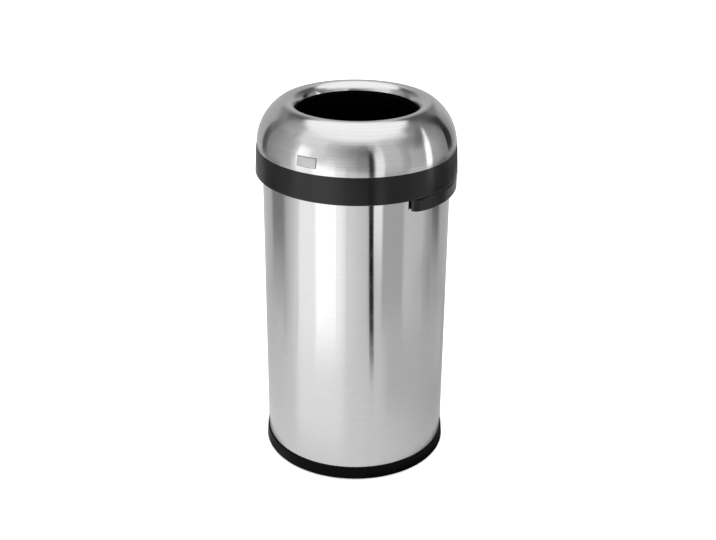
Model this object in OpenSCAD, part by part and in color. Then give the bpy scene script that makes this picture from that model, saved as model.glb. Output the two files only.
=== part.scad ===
// Dome top waste receptacle: a round brushed steel bin with an open, hinged dome lid.
// Millimetres, +Z up. Origin: centre of the base, on the floor.
// The badge faces -Y, the side grip is at +X and the hinge is opposite it, at -X.

/* [Body] */
// Outside diameter of the steel body
body_d = 360; // [300:5:420]
// Height of the steel body's top edge above the floor
body_h = 606; // [450:2:720]
// Gauge of the body and dome sheet
steel_t = 0.8; // [0.6:0.1:1.2]

/* [Base] */
// Height of the base ring's top edge above the floor
base_h = 27; // [22:1:40]
// How far the base ring's top edge stands out from the body
base_reach = 2.4; // [2:0.1:4]
// How much further it stands out at the bottom
base_flare = 1.6; // [1:0.1:4]
// Height of the foot pads, which lift the base ring off the floor
foot_h = 3.5; // [3:0.5:6]
// Diameter of one foot pad
foot_d = 22; // [14:1:26]
// Number of foot pads, and of the screws between them
foot_count = 6; // [4:1:8]
// Thickness of the floor pan's sheet
pan_t = 1; // [0.8:0.1:1.5]
// How high the middle of the floor pan is pressed up
pan_rise = 4; // [2:0.5:8]

/* [Rim collar] */
// Thickness of the collar's top, on which the lid rests
collar_t = 3; // [2:0.5:4]
// Wall of the collar's outer lip and inner skirt
collar_wall = 2.5; // [2:0.1:3]
// How far the collar's outer lip reaches down the body
collar_lip = 10; // [6:1:14]
// How far its inner skirt reaches down inside the body
collar_skirt = 16; // [10:1:24]
// Width of the ledge that the collar carries inside the body for the bag ring
ledge_w = 10; // [8:0.5:12]

/* [Bag ring] */
// Thickness of the bag ring's flange and skirt
ring_t = 2.5; // [2:0.1:3]
// Depth of the skirt that holds the bag
ring_skirt = 17; // [10:1:24]
// Diameter of the bag ring's hinge pin
ring_pin_d = 3; // [2.5:0.1:3.2]

/* [Lid band] */
// Height of the black band
band_h = 52.5; // [48:0.5:60]
// How far the band hangs below the body's top edge
band_drop = 17.5; // [16:0.5:20]
// How far the band's top edge stands out from the body
band_reach = 11.2; // [11:0.1:13]
// How much further the band stands out at its lower edge
band_flare = 2.6; // [2:0.1:4]
// Wall of the band
band_wall = 2.8; // [2.4:0.1:3]

/* [Dome] */
// Radius of the dome's broad shoulder
shoulder_r = 95; // [90:1:110]
// Sweep of the shoulder
shoulder_sweep = 54; // [48:1:58]
// Radius of the turn between shoulder and crown
crown_r = 26.4; // [24:0.1:32]
// Sweep of that turn
crown_sweep = 30; // [26:1:34]
// Radius of the lip that rolls down into the opening
lip_r = 22; // [18:0.5:23]
// Angle at which the rolled lip ends
lip_end = 163; // [150:1:172]

/* [Lid frame] */
// Wall of the black frame inside the lid and of the throat ring
frame_t = 2.5; // [2:0.1:3]
// Drop from the rolled lip's centre to the throat ring's flange
throat_drop = 19; // [16:0.5:22]
// Radius of the frame's inner dome
frame_turn_r = 52; // [40:1:56]
// Number of screws that hold the frame to the band, and of the bumpers
lid_screw_count = 6; // [4:2:8]

/* [Side grip] */
// Sweep of the grip round the lid
grip_sweep = 59; // [40:1:70]
// Height of the grip below the band, at its middle
grip_h = 26.5; // [22:0.5:34]
// How much higher the grip's lower edge is at its ends than at its middle
grip_sag = 4; // [2:0.5:6]
// Wall of the grip
grip_wall = 2.6; // [2:0.1:3]
// Radius of the grip's rounded ends
grip_end_r = 12; // [8:0.5:14]
// Rounding along the grip's upper outer edge
grip_round = 3.5; // [1:0.5:4]

/* [Lid hinge] */
// Diameter of the hinge pin
pin_d = 4; // [3:0.1:4.4]
// Width of the hinge housing
hinge_w = 60; // [56:1:66]
// Radius of the knuckles
knuckle_r = 4.6; // [4.2:0.1:4.8]
// Width of the housing's middle knuckle
knuckle_mid_w = 18; // [14:1:20]
// Width of one knuckle on the lid
knuckle_lid_w = 11; // [9:0.5:13]
// Depth of the housing below the band
housing_h = 28.5; // [26:0.5:34]

/* [Badge] */
// Width of the bare badge plate
badge_w = 39; // [30:1:50]
// Height of the badge plate
badge_h = 18.5; // [14:0.5:22]
// Thickness of the badge plate
badge_t = 1; // [0.8:0.1:1.6]
// Height of the badge's centre above the band's top edge
badge_rise = 20.5; // [18:0.5:26]

/* [Hidden] */
$fn = 96;

steel = "#b9bbbd";
black = "#232425";
rubber = "#18191a";
zinc = "#9a9ea1";

// Clearances
seat = 0.1;      // between pieces that are fixed together
gap = 0.3;       // between pieces that move past each other
run = 0.05;      // radial, round a pin that turns
slack = 0.2;     // radial, round a screw's shank

// Body and base
body_r = body_d / 2;
bore_r = body_r - steel_t;
web_z = foot_h;
web_t = 3.5;
web_top = web_z + web_t;
web_w = 28;
skirt_z = 1.5;
shell_z = web_top + seat;
inner_wall_t = 2.4;
inner_wall_h = 9;
inner_wall_r = bore_r - seat;
base_r = body_r + base_reach;
base_foot_r = base_r + base_flare;
pan_r = inner_wall_r - inner_wall_t - gap;
pan_z = web_top + seat;
pan_rim_h = 13;
foot_ring_r = pan_r - 13;

// Rim collar
collar_z = body_h + seat;
collar_top = collar_z + collar_t;
collar_r = body_r + seat + collar_wall;
collar_skirt_r = bore_r - seat;
ledge_r = collar_skirt_r - ledge_w;

// Bag ring and its hinge
ring_z = collar_top + gap;
ring_top = ring_z + ring_t;
ring_r = collar_skirt_r - collar_wall - 1.2;
ring_skirt_r = ledge_r - 4.5;
ring_lug_r = ring_pin_d / 2 + 1.5;
ring_lug_w = 16;
ring_boss_w = 5;
ring_axis_x = -(body_r - gap);
ring_axis_z = collar_top + ring_lug_r + 1.6;

// Band
band_z = body_h - band_drop;
band_top = band_z + band_h;
band_top_r = body_r + band_reach;
band_low_r = band_top_r + band_flare;
band_round = 3.5;
band_sheet = 2.5;
band_return_r = collar_r + 2;
groove_d = 2.4;
groove_lip = 0.75;
web_inner_r = body_r - 4;
band_web_z = band_top - groove_d - 3.6;

// Dome, as three arcs that run into each other
foot_r = band_top_r - groove_lip - 0.25;
spring_z = band_top + 4;
turn_a = shoulder_sweep;
turn_b = turn_a + crown_sweep;
shoulder_c = [foot_r - shoulder_r, spring_z];
crown_c = shoulder_c + (shoulder_r - crown_r) * [cos(turn_a), sin(turn_a)];
lip_c = crown_c + (crown_r - lip_r) * [cos(turn_b), sin(turn_b)];

// Throat ring and frame
throat_z = lip_c.y - throat_drop;
throat_in_r = lip_c.x - lip_r + 4.4;
throat_out_r = throat_in_r + 12.5;
frame_top = throat_z - seat;
throat_screw_d = 3;
throat_screw_l = 8;
throat_head_d = 5.6;
throat_screw_r = throat_in_r + 8.2;
frame_r = body_r - 5.5;
frame_flat_r = max(throat_screw_r + throat_head_d / 2 + 1.2, frame_r - frame_turn_r);
frame_turn_a = acos((frame_flat_r - frame_r + frame_turn_r) / frame_turn_r);
frame_turn_c = [frame_r - frame_turn_r, frame_top - frame_turn_r * sin(frame_turn_a)];
frame_flange_z = band_web_z - seat - frame_t;
frame_start_a = asin(max(0, frame_flange_z + frame_t - frame_turn_c.y) / frame_turn_r);
frame_foot_z = ring_top + 1.1;
frame_foot_r = collar_r + 0.6;
lid_screw_r = body_r + 1.5;
bumper_r = (ring_r + gap + collar_r + gap) / 2 + 0.6;
bumper_d = 5;

// Grip
grip_step = 1;
grip_end_t = 7;
grip_top = band_z - seat;
grip_z = band_z - grip_h;
grip_r = band_low_r - grip_step;
grip_in_r = band_return_r;
grip_screw_r = (band_return_r + grip_r - grip_wall) / 2 - 0.1;

// Lid hinge: the pin lies along Y, beside the body and below the band
hinge_x = -(body_r + 0.5 + knuckle_r);
hinge_z = band_z - 8.3;
housing_r = band_low_r - 1.7;
housing_z = band_z - housing_h;
housing_top = band_z - 1.6;
housing_round = 7.2;
leaf_t = 2.4;
leaf_x = hinge_x - 1.5;
leaf_w = knuckle_mid_w + 2 * (knuckle_lid_w + gap) + 8;
leaf_top = band_web_z - frame_t - 5;
leaf_screw_z = leaf_top - 5.5;
housing_screw_z = housing_z + 6;
housing_screw_a = 6.4;

// Badge
badge_z = band_top + badge_rise;
badge_a = asin((badge_z - spring_z) / shoulder_r);
stud_pitch = badge_w * 0.56;
stud_r = 1.25;

// ---- Shared shapes ----

// Points on an arc about c
function arc(c, r, a0, a1, n = 12) =
    [for (i = [0:n]) let (a = a0 + (a1 - a0) * i / n) c + r * [cos(a), sin(a)]];

// The same points in the other order
function backwards(p) = [for (i = [len(p) - 1:-1:0]) p[i]];

// The dome's section line, inset into the sheet
function dome_line(inset) = concat(
    [[foot_r - inset, band_top - groove_d + seat]],
    arc(shoulder_c, shoulder_r - inset, 0, turn_a, 20),
    arc(crown_c, crown_r - inset, turn_a, turn_b, 10),
    arc(lip_c, lip_r - inset, turn_b, lip_end, 20)
);

// Outside radius of the band at height z
function band_r_at(z) = band_low_r - band_flare * (z - band_z) / band_h;

// Radius of the dome at height z, on its shoulder
function shoulder_at(z) =
    shoulder_c.x + sqrt(shoulder_r * shoulder_r - (z - spring_z) * (z - spring_z));

// A ring with the given half section
module turned(points) {
    rotate_extrude($fn = 180) polygon(points);
}

// A plain ring
module hoop(r0, r1, z0, z1) {
    turned([[r0, z0], [r1, z0], [r1, z1], [r0, z1]]);
}

// Places children round the axis, at radius r and height z
module around(count, r, z, from = 0) {
    for (i = [0:count - 1]) rotate(from + 360 * i / count) translate([r, 0, z]) children();
}

// Places children so that their +Z points away from the axis
module outward(a, r, z) {
    rotate(a) translate([r, 0, z]) rotate([0, 90, 0]) children();
}

// A cylinder along Y about the point x, z
module along_y(x, z, r, w, y = 0) {
    translate([x, y + w / 2, z]) rotate([90, 0, 0]) cylinder(r = r, h = w);
}

// A block between two corners
module block(low, high) {
    translate(low) cube(high - low);
}

// Pan head screw: seats at z = 0, shank upwards, drive recess in the head
module screw(d, length, head_d, head_h) {
    difference() {
        union() {
            cylinder(d = d, h = length, $fn = 32);
            translate([0, 0, -head_h]) cylinder(d = head_d, h = head_h, $fn = 48);
        }
        translate([0, 0, -head_h * 0.75]) cube([head_d * 0.6, 0.9, head_h * 0.6], center = true);
        translate([0, 0, -head_h * 0.75]) cube([0.9, head_d * 0.6, head_h * 0.6], center = true);
    }
}

// A flat rectangle with rounded corners
module rounded_rect(w, h, r) {
    square([w - 2 * r, h], center = true);
    square([w, h - 2 * r], center = true);
    for (x = [-1, 1], y = [-1, 1]) {
        translate([x * (w / 2 - r), y * (h / 2 - r)]) circle(r = r, $fn = 32);
    }
}

// The wedge between two angles, seen from above
module wedge(a0, a1, r) {
    polygon(concat([[0, 0]], arc([0, 0], r, a0, a1, 8)));
}

// ---- Base ----

base_screw_r = 1.9;
base_head_r = 3.6;
base_head_h = 1.6;

module base_ring() {
    color(black) difference() {
        turned(concat(
            [[body_r + seat, shell_z], [body_r + seat, base_h - 0.8]],
            arc([body_r + seat + 0.8, base_h - 0.8], 0.8, 180, 90, 3),
            arc([base_r - 1, base_h - 1], 1, 90, 8, 4),
            arc([base_foot_r - 2.5, skirt_z + 2.5], 2.5, 6, -90, 8),
            [
                [body_r - 1, skirt_z], [body_r - 2.5, web_z],
                [pan_r - web_w, web_z], [pan_r - web_w, web_top],
                [inner_wall_r - inner_wall_t, web_top],
                [inner_wall_r - inner_wall_t, web_top + inner_wall_h],
                [inner_wall_r, web_top + inner_wall_h],
                [inner_wall_r, shell_z]
            ]
        ));
        around(foot_count, foot_ring_r, 0, 180 / foot_count) {
            cylinder(r = base_screw_r + slack, h = base_h, $fn = 32);
            cylinder(r = base_head_r + slack, h = web_z + base_head_h + gap, $fn = 48);
        }
    }
}

module foot_pads() {
    color(rubber) around(foot_count, foot_ring_r, 0) {
        rotate_extrude($fn = 48) polygon([
            [0, 0], [foot_d / 2 - 1, 0], [foot_d / 2, 1], [foot_d / 2, foot_h], [0, foot_h]
        ]);
    }
}

module base_pan() {
    plateau_r = pan_r - web_w - 16;
    color(zinc) difference() {
        union() {
            turned([
                [0, pan_z + pan_rise], [plateau_r, pan_z + pan_rise], [plateau_r + 6, pan_z],
                [pan_r, pan_z], [pan_r, pan_z + pan_rim_h], [pan_r - pan_t, pan_z + pan_rim_h],
                [pan_r - pan_t, pan_z + pan_t], [plateau_r + 6, pan_z + pan_t],
                [plateau_r, pan_z + pan_rise + pan_t], [0, pan_z + pan_rise + pan_t]
            ]);
            around(foot_count, foot_ring_r, pan_z + pan_t, 180 / foot_count) {
                cylinder(r = base_screw_r + 1.6, h = 3, $fn = 48);
            }
        }
        around(foot_count, foot_ring_r, 0, 180 / foot_count) {
            cylinder(r = base_screw_r + run, h = pan_z + pan_rim_h, $fn = 32);
        }
    }
}

module base_screws() {
    color(zinc) around(foot_count, foot_ring_r, web_z + base_head_h + gap, 180 / foot_count) {
        screw(2 * base_screw_r, web_t + pan_t + 3, 2 * base_head_r, base_head_h);
    }
}

// ---- Body ----

rivet_r = 1.6;
rivet_a = 45;
seam_w = 0.8;
seam_proud = 0.06;

module body_shell() {
    color(steel) difference() {
        union() {
            hoop(bore_r, body_r, shell_z, body_h);
            // The welded seam, at the back
            block([-seam_w / 2, bore_r, shell_z], [seam_w / 2, body_r + seam_proud, body_h]);
        }
        for (i = [0:3]) {
            outward(rivet_a + 90 * i, bore_r - 3, body_h - collar_lip / 2) {
                cylinder(r = rivet_r + run, h = 9, $fn = 32);
            }
        }
        for (s = [-1, 1]) {
            outward(180 + s * housing_screw_a, bore_r - 3, housing_screw_z) {
                cylinder(r = housing_screw_d / 2 + slack, h = 9, $fn = 32);
            }
        }
    }
}

module top_collar() {
    boss_y = ring_lug_w / 2 + gap;
    color(black) difference() {
        union() {
            turned([
                [body_r + seat, body_h - collar_lip], [collar_r, body_h - collar_lip],
                [collar_r, collar_top - 0.8], [collar_r - 0.8, collar_top],
                [ledge_r + 0.8, collar_top], [ledge_r, collar_top - 0.8],
                [ledge_r, collar_z], [collar_skirt_r - collar_wall, collar_z],
                [collar_skirt_r - collar_wall, body_h - collar_skirt],
                [collar_skirt_r, body_h - collar_skirt],
                [collar_skirt_r, collar_z], [body_r + seat, collar_z]
            ]);
            // The two ears that carry the bag ring's pin
            for (s = [-1, 1]) {
                y = s * (boss_y + ring_boss_w / 2);
                along_y(ring_axis_x, ring_axis_z, ring_lug_r + 0.2, ring_boss_w, y);
                block(
                    [ring_axis_x - ring_lug_r - 0.2, y - ring_boss_w / 2, collar_top - 0.5],
                    [ring_axis_x + ring_lug_r + 0.2, y + ring_boss_w / 2, ring_axis_z]
                );
            }
        }
        along_y(ring_axis_x, ring_axis_z, ring_pin_d / 2 + 0.02, ring_lug_w * 3);
        for (i = [0:3]) {
            outward(rivet_a + 90 * i, bore_r - 8, body_h - collar_lip / 2) {
                cylinder(r = rivet_r + run, h = 20, $fn = 32);
            }
        }
    }
}

module collar_rivets() {
    inside = collar_skirt_r - collar_wall - seat;
    color(zinc) for (i = [0:3]) {
        outward(rivet_a + 90 * i, inside, body_h - collar_lip / 2) {
            cylinder(r = rivet_r, h = collar_r - inside, $fn = 32);
            translate([0, 0, -1]) cylinder(r1 = 2.4, r2 = 3.2, h = 1, $fn = 48);
        }
    }
}

// ---- Lid hinge ----

housing_screw_d = 3.8;

// Half section of the hinge housing, as drawn on the hinge's own axis
module housing_blank() {
    intersection() {
        turned(concat(
            [[body_r + gap, housing_top], [body_r + gap, housing_z]],
            arc([housing_r - 2.5, housing_z + 2.5], 2.5, -90, 0, 6),
            [[housing_r, housing_top]]
        ));
        block([-housing_r - 1, -hinge_w / 2, housing_z - 1], [-body_r / 2, hinge_w / 2, housing_top]);
        union() {
            along_y(hinge_x, hinge_z, housing_round, hinge_w);
            block([-housing_r - 1, -hinge_w / 2, housing_z - 1], [-body_r / 2, hinge_w / 2, hinge_z]);
            block([hinge_x, -hinge_w / 2, hinge_z - 1], [-body_r / 2, hinge_w / 2, housing_top]);
        }
    }
}

module hinge_housing() {
    slot_in = knuckle_mid_w / 2;
    slot_out = slot_in + knuckle_lid_w + 2 * gap;
    color(black) difference() {
        housing_blank();
        for (s = [-1, 1]) {
            y0 = min(s * slot_in, s * slot_out);
            y1 = max(s * slot_in, s * slot_out);
            along_y(hinge_x, hinge_z, knuckle_r + gap, y1 - y0, (y0 + y1) / 2);
            block([-housing_r - 2, y0, hinge_z - 7.2], [hinge_x, y1, band_z]);
            block([hinge_x - 1, y0, hinge_z], [-body_r / 2, y1, band_z]);
        }
        along_y(hinge_x, hinge_z, pin_d / 2 + 0.02, hinge_w + 2);
        for (s = [-1, 1]) {
            outward(180 + s * housing_screw_a, body_r - 1, housing_screw_z) {
                cylinder(r = housing_screw_d / 2 + run, h = 9.5, $fn = 32);
            }
        }
    }
}

module hinge_backing_plate() {
    plate_t = 1.6;
    color(zinc) difference() {
        intersection() {
            hoop(bore_r - seat - plate_t, bore_r - seat, housing_z, housing_z + 12);
            block([-body_r, -hinge_w / 2, housing_z], [-body_r / 2, hinge_w / 2, housing_z + 12]);
        }
        for (s = [-1, 1]) {
            outward(180 + s * housing_screw_a, bore_r - 6, housing_screw_z) {
                cylinder(r = housing_screw_d / 2 + slack, h = 9, $fn = 32);
            }
        }
    }
}

module hinge_housing_screws() {
    color(zinc) for (s = [-1, 1]) {
        outward(180 + s * housing_screw_a, bore_r - 2 * seat - 1.6, housing_screw_z) {
            screw(housing_screw_d, 10.5, 8, 2);
        }
    }
}

module hinge_pin() {
    color(zinc) along_y(hinge_x, hinge_z, pin_d / 2, hinge_w);
}

module hinge_pin_caps() {
    color(zinc) for (s = [-1, 1]) {
        y = s * (hinge_w / 2 + 0.7);
        difference() {
            along_y(hinge_x, hinge_z, pin_d / 2 + 1.6, 1.2, y);
            along_y(hinge_x, hinge_z, pin_d / 2 - 0.8, 0.8, y + s * 0.4);
        }
    }
}

module lid_hinge_leaf() {
    slot_in = knuckle_mid_w / 2 + gap;
    leaf_low = band_z + band_sheet + gap;
    color(black) difference() {
        union() {
            block([leaf_x, -leaf_w / 2, leaf_low], [leaf_x + leaf_t, leaf_w / 2, leaf_top]);
            for (s = [-1, 1]) {
                y0 = min(s * slot_in, s * (slot_in + knuckle_lid_w));
                y1 = y0 + knuckle_lid_w;
                along_y(hinge_x, hinge_z, knuckle_r, knuckle_lid_w, (y0 + y1) / 2);
                block([hinge_x - knuckle_r + 1, y0, hinge_z], [leaf_x + leaf_t, y1, leaf_low + 1]);
                // Gusset from knuckle to leaf
                block(
                    [hinge_x - knuckle_r + 1, y0 + 3, leaf_low],
                    [leaf_x + leaf_t, y1 - 3, leaf_low + 6]
                );
            }
        }
        along_y(hinge_x, hinge_z, pin_d / 2 + run, leaf_w + 2);
        for (y = leaf_screw_ys) {
            translate([leaf_x - 1, y, leaf_screw_z]) rotate([0, 90, 0]) {
                cylinder(r = leaf_screw_d / 2 + slack, h = leaf_t + 2, $fn = 32);
            }
        }
    }
}

leaf_screw_d = 3;
leaf_screw_ys = [for (s = [-1, -0.34, 0.34, 1]) s * (leaf_w / 2 - 5)];

module hinge_leaf_screws() {
    color(zinc) for (y = leaf_screw_ys) {
        translate([leaf_x + leaf_t, y, leaf_screw_z]) rotate([0, -90, 0]) screw(leaf_screw_d, 5, 5.6, 1.4);
    }
}

// ---- Bag ring ----

module bag_ring() {
    lug_web_top = ring_axis_z + 0.6;
    color(black) difference() {
        union() {
            turned([
                [ring_skirt_r - ring_t, ring_z - ring_skirt], [ring_skirt_r, ring_z - ring_skirt],
                [ring_skirt_r, ring_z], [ring_r, ring_z], [ring_r, ring_top - 0.8],
                [ring_r - 0.8, ring_top], [ring_skirt_r - ring_t + 1.2, ring_top],
                [ring_skirt_r - ring_t, ring_top - 1.2]
            ]);
            // Hinge lug
            along_y(ring_axis_x, ring_axis_z, ring_lug_r, ring_lug_w);
            block(
                [ring_axis_x, -ring_lug_w / 2, ring_z + 0.4],
                [-ring_r + 4, ring_lug_w / 2, lug_web_top]
            );
            // Lift tab, opposite the hinge
            intersection() {
                hoop(ring_skirt_r - ring_t - 9, ring_skirt_r, ring_top - ring_t, ring_top);
                block([0, -16, ring_z - 1], [ring_r, 16, ring_top + 1]);
            }
        }
        along_y(ring_axis_x, ring_axis_z, ring_pin_d / 2 + run, ring_lug_w + 2);
    }
}

module bag_ring_pin() {
    color(zinc) along_y(ring_axis_x, ring_axis_z, ring_pin_d / 2, ring_lug_w + 2 * (gap + ring_boss_w));
}

// ---- Lid ----

module dome_shell() {
    color(steel) difference() {
        turned(concat(dome_line(0), backwards(dome_line(steel_t))));
        badge_studs(stud_r + slack, 12);
    }
}

module throat_ring() {
    catch_r = lip_r - steel_t - 0.2;
    wall_r = catch_r - 1.8;
    catch_a = lip_end - 25;
    start_a = lip_end + 0.7;
    turn_end = 205;
    color(black) difference() {
        turned(concat(
            arc(lip_c, lip_r, start_a, turn_end, 12),
            [
                [throat_in_r, throat_z], [throat_out_r, throat_z],
                [throat_out_r, throat_z + frame_t], [throat_in_r + 3.6, throat_z + frame_t]
            ],
            arc(lip_c, wall_r, turn_end, catch_a, 12),
            arc(lip_c, catch_r, catch_a, start_a, 6)
        ));
        throat_screw_places() throat_screw_hole(run);
    }
}

module throat_screw_places() {
    around(4, throat_screw_r, throat_z, 45) children();
}

module throat_screw_hole(clear) {
    cylinder(r = throat_screw_d / 2 + clear, h = 3 * throat_screw_l, center = true, $fn = 32);
}

module throat_screws() {
    color(zinc) translate([0, 0, -2 * seat - frame_t]) throat_screw_places() {
        screw(throat_screw_d, throat_screw_l, throat_head_d, 1.6);
    }
}

module inner_frame() {
    inner_turn_r = frame_turn_r - frame_t;
    inner_turn_a = asin((frame_turn_r * sin(frame_turn_a) - frame_t) / inner_turn_r);
    color(black) difference() {
        turned(concat(
            [
                [frame_r - frame_t, frame_foot_z], [frame_foot_r, frame_foot_z],
                [frame_foot_r, frame_foot_z + frame_t], [frame_r, frame_foot_z + frame_t],
                [frame_r, frame_flange_z], [band_top_r - 3.6, frame_flange_z],
                [band_top_r - 3.6, frame_flange_z + frame_t], [frame_r, frame_flange_z + frame_t]
            ],
            arc(frame_turn_c, frame_turn_r, frame_start_a, frame_turn_a, 16),
            [[throat_in_r + 1, frame_top], [throat_in_r + 1, frame_top - frame_t]],
            arc(frame_turn_c, inner_turn_r, inner_turn_a, 0, 16)
        ));
        throat_screw_places() throat_screw_hole(slack);
        // Screw holes in the upper flange, and the way to them through the foot
        around(lid_screw_count, lid_screw_r, 0) {
            translate([0, 0, frame_flange_z - 1]) cylinder(r = lid_screw_d / 2 + slack, h = 6, $fn = 32);
            translate([0, 0, frame_foot_z - 1]) cylinder(r = 4.6, h = frame_t + 2, $fn = 48);
        }
        around(lid_screw_count, bumper_r, frame_foot_z - 1, 180 / lid_screw_count) {
            cylinder(r = 1.5 + run, h = frame_t + 2, $fn = 32);
        }
        // Room for the bag ring's hinge ears
        block(
            [-frame_foot_r - 1, -ring_lug_w / 2 - ring_boss_w - 4, frame_foot_z - 1],
            [-body_r / 2, ring_lug_w / 2 + ring_boss_w + 4, ring_axis_z + ring_lug_r + 3.5]
        );
    }
}

lid_screw_d = 3.5;

module lid_frame_screws() {
    color(zinc) around(lid_screw_count, lid_screw_r, frame_flange_z) {
        screw(lid_screw_d, 14, 7, 2);
    }
}

module lid_bumpers() {
    color(rubber) around(lid_screw_count, bumper_r, collar_top + seat, 180 / lid_screw_count) {
        foot_t = frame_foot_z - collar_top - 2 * seat;
        cylinder(d = bumper_d, h = foot_t, $fn = 48);
        cylinder(r = 1.5, h = foot_t + frame_t + 2 * seat, $fn = 32);
        translate([0, 0, foot_t + frame_t + 2 * seat]) cylinder(r1 = 2.2, r2 = 1.3, h = 1.4, $fn = 48);
    }
}

module lid_band() {
    inner_low = band_low_r - band_wall;
    inner_top = band_r_at(band_web_z) - band_wall;
    groove_in = foot_r - steel_t - 0.25;
    slot_in = knuckle_mid_w / 2 - gap;
    slot_out = knuckle_mid_w / 2 + knuckle_lid_w + 3 * gap;
    color(black) difference() {
        union() {
            turned(concat(
                [
                    [foot_r + 0.25, band_top - groove_d],
                    [foot_r + 0.25, band_top - 0.35]
                ],
                arc([band_top_r - 0.4, band_top - 0.4], 0.4, 120, 5, 4),
                arc([band_low_r - band_round, band_z + band_round], band_round, -2, -90, 10),
                [
                    [band_return_r, band_z], [band_return_r, band_z + band_sheet],
                    [inner_low - 1.5, band_z + band_sheet], [inner_low, band_z + band_sheet + 1.5],
                    [inner_top, band_web_z], [web_inner_r, band_web_z],
                    [web_inner_r, band_web_z + 3], [groove_in - 1.5, band_web_z + 3],
                    [groove_in, band_top - 0.6], [groove_in, band_top - groove_d]
                ]
            ));
            // Bosses for the frame's screws, on the web
            around(lid_screw_count, lid_screw_r, band_web_z + 2) {
                cylinder(r = 4, h = 11, $fn = 48);
            }
            // Bosses for the grip's screws, on the lower flange
            grip_screw_places() translate([0, 0, band_z + 1]) cylinder(r = 2.7, h = 11, $fn = 48);
            // Pad behind the hinge leaf
            intersection() {
                hoop(body_r, inner_low - 0.1, leaf_screw_z - 14, leaf_top + 1);
                block([-band_low_r, -leaf_w / 2 - 1, 0], [leaf_x, leaf_w / 2 + 1, band_top]);
                turned([
                    [body_r, band_z], [inner_low + 0.5, band_z],
                    [inner_top + 0.5, band_web_z], [body_r, band_web_z]
                ]);
            }
        }
        around(lid_screw_count, lid_screw_r, band_web_z - 1) {
            cylinder(r = lid_screw_d / 2 + run, h = 13.5, $fn = 32);
        }
        grip_screw_places() translate([0, 0, band_z - 1]) {
            cylinder(r = grip_screw_d / 2 + run, h = 12, $fn = 32);
        }
        for (y = leaf_screw_ys) {
            translate([leaf_x + 1, y, leaf_screw_z]) rotate([0, -90, 0]) {
                cylinder(r = leaf_screw_d / 2 + run, h = 4.2, $fn = 32);
            }
        }
        // Slots for the lid's knuckles
        for (s = [-1, 1]) {
            block(
                [-band_low_r + band_wall + 0.5, min(s * slot_in, s * slot_out), band_z - 1],
                [-body_r, max(s * slot_in, s * slot_out), band_z + band_sheet + 7]
            );
        }
    }
}

// ---- Side grip ----

grip_screw_d = 2.8;

module grip_screw_places() {
    for (a = [-0.38, -0.14, 0.14, 0.38]) rotate(a * grip_sweep) translate([grip_screw_r, 0, 0]) children();
}

// Outline of the grip from above: a sector with rounded ends
module grip_outline(end_r) {
    end_c = grip_r - grip_end_r + 0.05;
    end_a = grip_sweep / 2 - asin(grip_end_r / end_c);
    wedge(-end_a, end_a, 1.2 * grip_r);
    for (s = [-1, 1]) rotate(s * end_a) translate([end_c, 0]) circle(r = end_r, $fn = 64);
}

module side_grip() {
    wall_r = grip_r - grip_wall;
    half_chord = grip_r * sin(grip_sweep / 2);
    sag_r = (half_chord * half_chord + grip_sag * grip_sag) / (2 * grip_sag);
    color(black) difference() {
        intersection() {
            translate([0, 0, grip_z]) linear_extrude(grip_top - grip_z) grip_outline(grip_end_r);
            turned(concat(
                [[grip_in_r, grip_top], [grip_in_r, grip_z]],
                arc([grip_r - 2.2, grip_z + 2.2], 2.2, -90, 0, 6),
                arc([grip_r - grip_round, grip_top - grip_round], grip_round, 0, 90, 8)
            ));
            // The lower edge, which sags towards its middle
            translate([0, 0, grip_z + sag_r]) rotate([0, 90, 0]) cylinder(r = sag_r, h = 1.2 * grip_r, $fn = 720);
        }
        // Finger pocket between solid ends, open below and towards the body, with a bead along its lip
        intersection() {
            translate([0, 0, grip_z - 1]) linear_extrude(grip_h) grip_outline(grip_end_r - grip_end_t);
            turned(concat(
                [[grip_in_r - 1, grip_z - 0.5], [wall_r, grip_z - 0.5]],
                arc([wall_r, grip_z + 1.6], 1.6, -90, -270, 12),
                [[wall_r, grip_top - grip_wall], [grip_in_r - 1, grip_top - grip_wall]]
            ));
        }
        grip_screw_places() translate([0, 0, grip_top - grip_wall - 1]) {
            cylinder(r = grip_screw_d / 2 + slack, h = grip_wall + 2, $fn = 32);
        }
    }
}

module grip_screws() {
    color(zinc) grip_screw_places() translate([0, 0, grip_top - grip_wall]) {
        screw(grip_screw_d, 12, 4.6, 1.6);
    }
}

// ---- Badge ----

// Studs square to the dome at the badge's height
module badge_studs(r, length) {
    for (s = [-1, 1]) {
        translate([s * stud_pitch / 2, -shoulder_at(badge_z), badge_z]) {
            rotate([90 - badge_a, 0, 0]) translate([0, 0, 1 - length]) cylinder(r = r, h = length, $fn = 32);
        }
    }
}

// A sheet that follows the dome's shoulder, between two heights above its surface
module shoulder_sheet(low, high) {
    turned(concat(
        arc(shoulder_c, shoulder_r + low, 0, turn_a / 2, 20),
        arc(shoulder_c, shoulder_r + high, turn_a / 2, 0, 20)
    ));
}

// The badge's outline, run through the front of the dome
module badge_prism(inset) {
    translate([0, 0, badge_z]) rotate([90, 0, 0]) {
        linear_extrude(2 * body_r) rounded_rect(badge_w - 2 * inset, badge_h - 2 * inset, 1.6);
    }
}

module badge_plate() {
    color(steel) {
        intersection() {
            shoulder_sheet(0.05, badge_t * 0.55);
            badge_prism(0);
        }
        intersection() {
            shoulder_sheet(badge_t * 0.5, badge_t);
            badge_prism(0.6);
        }
        intersection() {
            badge_studs(stud_r, 7);
            turned([
                [0, band_top], [shoulder_at(badge_z) + 0.6, band_top],
                [shoulder_at(badge_z) + 0.6, badge_z + badge_h], [0, badge_z + badge_h]
            ]);
        }
    }
}

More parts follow.
